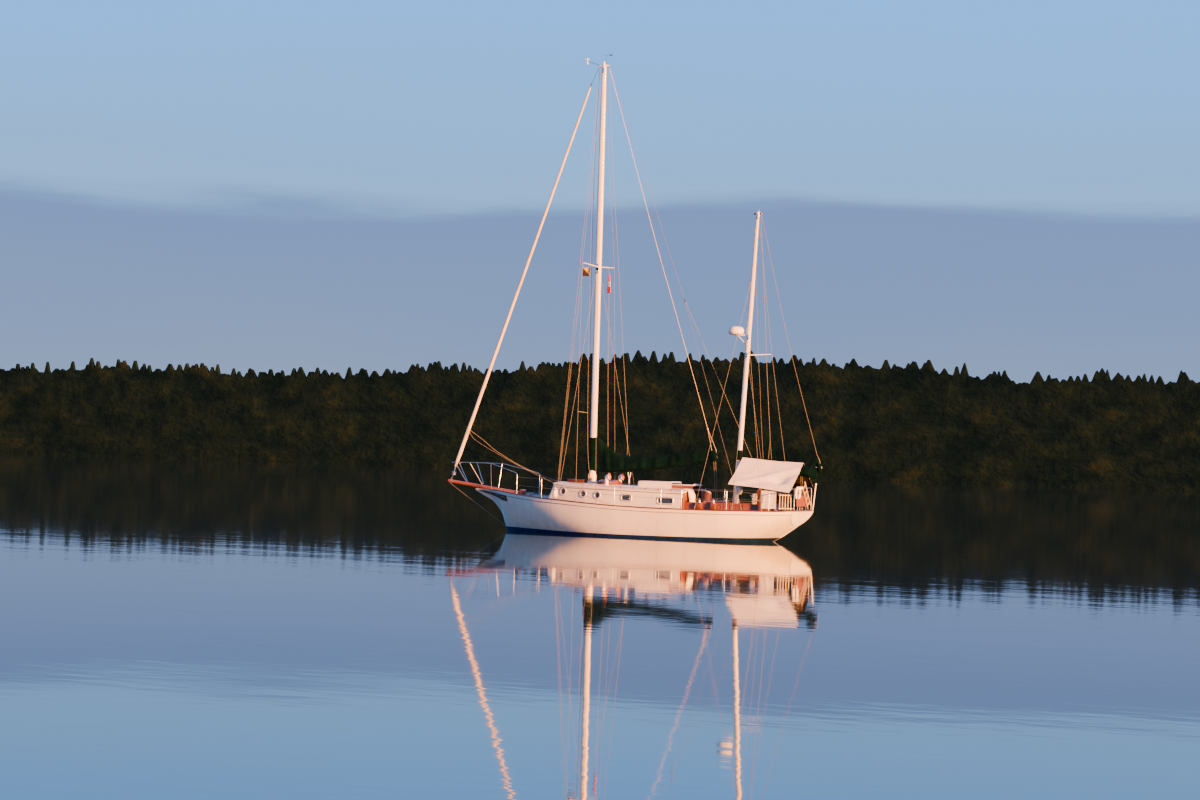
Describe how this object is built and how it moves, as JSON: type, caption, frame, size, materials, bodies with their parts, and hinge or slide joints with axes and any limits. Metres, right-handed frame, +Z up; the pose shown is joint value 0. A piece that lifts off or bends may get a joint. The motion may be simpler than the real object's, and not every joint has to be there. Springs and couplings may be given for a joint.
{
  "type": "ketch-rigged sailing yacht",
  "caption": "Clipper-bowed ketch with a bowsprit, trunk cabin and full keel, sails furled under covers, a white awning over the cockpit.",
  "frame": {"origin": "on the waterline at the middle of the deck's length, on the centreline", "axes": "+X to the bow, +Y to port, +Z up"},
  "size_m": [13.9219, 3.78, 18.217],
  "materials": {
    "hull_paint": "white hull gloss with a dark blue boot top and bottom",
    "teak": "varnished teak",
    "trailboard_wood": "dark brown varnish with a pale edge",
    "deckhouse_gelcoat": "white gelcoat",
    "spar_paint": "white paint",
    "cover_canvas": "dark green acrylic canvas",
    "awning_cloth": "white awning canvas",
    "sail_cloth": "cream sail cloth and leech strip",
    "radome": "white satin",
    "bronze": "dull bronze",
    "stainless": "polished stainless",
    "glass": "dark window glass",
    "window_frame": "pale anodised frames",
    "rope": "laid rope",
    "vent_red": "red inside of the cowls",
    "flag_cloth": "printed flag cloth",
    "buoy": "white foam buoy",
    "black_rubber": "black"
  },
  "bodies": {
    "hull": {"hull": "hull_paint", "cap_rail": "teak", "bowsprit": "teak", "trunk_bulkhead": "teak", "cockpit_coaming": "teak", "trailboard_port": "trailboard_wood", "trailboard_starboard": "trailboard_wood", "trunk_front": "deckhouse_gelcoat", "coachroof": "deckhouse_gelcoat", "sea_hood": "deckhouse_gelcoat", "pedestal": "deckhouse_gelcoat", "trunk_port": "deckhouse_gelcoat", "trunk_starboard": "deckhouse_gelcoat", "main_mast": "spar_paint", "mizzen_mast": "spar_paint", "main_cover_collar": "cover_canvas", "awning": "awning_cloth", "side_curtain": "awning_cloth", "furled_genoa": "sail_cloth", "radar_dome": "radome", "halyard_hank_port": "rope", "halyard_hank_starboard": "rope", "main_backstay": "stainless", "bobstay": "stainless", "pulpit": "stainless", "pushpit": "stainless", "main_cap_shroud_port": "stainless", "main_cap_shroud_starboard": "stainless", "main_forward_lower_port": "stainless", "main_forward_lower_starboard": "stainless", "main_aft_lower_port": "stainless", "main_aft_lower_starboard": "stainless", "mizzen_cap_shroud_port": "stainless", "mizzen_cap_shroud_starboard": "stainless", "mizzen_lower_port": "stainless", "mizzen_lower_starboard": "stainless", "mizzen_forward_stay_port": "stainless", "mizzen_forward_stay_starboard": "stainless", "stanchion_port_1": "stainless", "stanchion_port_2": "stainless", "stanchion_port_3": "stainless", "stanchion_port_4": "stainless", "stanchion_port_5": "stainless", "stanchion_starboard_1": "stainless", "stanchion_starboard_2": "stainless", "stanchion_starboard_3": "stainless", "stanchion_starboard_4": "stainless", "stanchion_starboard_5": "stainless"},
    "fore_hatch": {"fore_hatch": "teak"},
    "skylight_leaf_port": {"skylight_port": "teak"},
    "skylight_leaf_starboard": {"skylight_starboard": "teak"},
    "sliding_hatch": {"sliding_hatch": "deckhouse_gelcoat"},
    "lazarette_lid": {"lazarette_lid": "teak"},
    "main_boom": {"main_boom": "spar_paint", "main_sail_cover": "cover_canvas"},
    "mizzen_boom": {"mizzen_boom": "spar_paint", "mizzen_sail_cover": "cover_canvas"},
    "rudder": {"rudder": "hull_paint"},
    "steering_wheel": {"steering_wheel": "teak"},
    "propeller": {"propeller": "bronze"}
  },
  "joints": [
    {"name": "fore_hatch_hinge", "type": "hinge", "parent": "hull", "child": "fore_hatch", "pos_m": [2.66, 0, 1.796], "axis": [0, 1, 0], "range_deg": [0, 90]},
    {"name": "skylight_port_hinge", "type": "hinge", "parent": "hull", "child": "skylight_leaf_port", "pos_m": [1.195, 0.027, 1.853], "axis": [1, 0, 0], "range_deg": [0, 45]},
    {"name": "skylight_starboard_hinge", "type": "hinge", "parent": "hull", "child": "skylight_leaf_starboard", "pos_m": [1.195, -0.027, 1.853], "axis": [-1, 0, 0], "range_deg": [0, 45]},
    {"name": "sliding_hatch_slide", "type": "slide", "parent": "hull", "child": "sliding_hatch", "axis": [1, 0, 0], "range_m": [0, 0.6]},
    {"name": "lazarette_hinge", "type": "hinge", "parent": "hull", "child": "lazarette_lid", "pos_m": [-5.12, 0, 1.013], "axis": [0, 1, 0], "range_deg": [0, 80]},
    {"name": "main_boom_swing", "type": "hinge", "parent": "hull", "child": "main_boom", "pos_m": [1.7, 0, 2.225], "axis": [0, 0, 1], "range_deg": [-55, 55]},
    {"name": "mizzen_boom_swing", "type": "hinge", "parent": "hull", "child": "mizzen_boom", "pos_m": [-3.66, 0, 2.37], "axis": [-0.0532, 0, 0.9986], "range_deg": [-12, 12], "deforming": ["awning"]},
    {"name": "rudder_turn", "type": "hinge", "parent": "hull", "child": "rudder", "pos_m": [-3.59078, 0, -1.86903], "axis": [-0.4229, 0, 0.9062], "range_deg": [-35, 35]},
    {"name": "steering_wheel_turn", "type": "hinge", "parent": "hull", "child": "steering_wheel", "pos_m": [-4.33, 0, 1.34], "axis": [1, 0, 0], "range_deg": [-420, 420]},
    {"name": "propeller_spin", "type": "hinge", "parent": "hull", "child": "propeller", "pos_m": [-3.7, 0, -0.975], "axis": [1, 0, 0], "continuous": true}
  ],
  "couplings": [
    {"joint": "steering_wheel_turn", "follows": "rudder_turn", "ratio": 12}
  ]
}
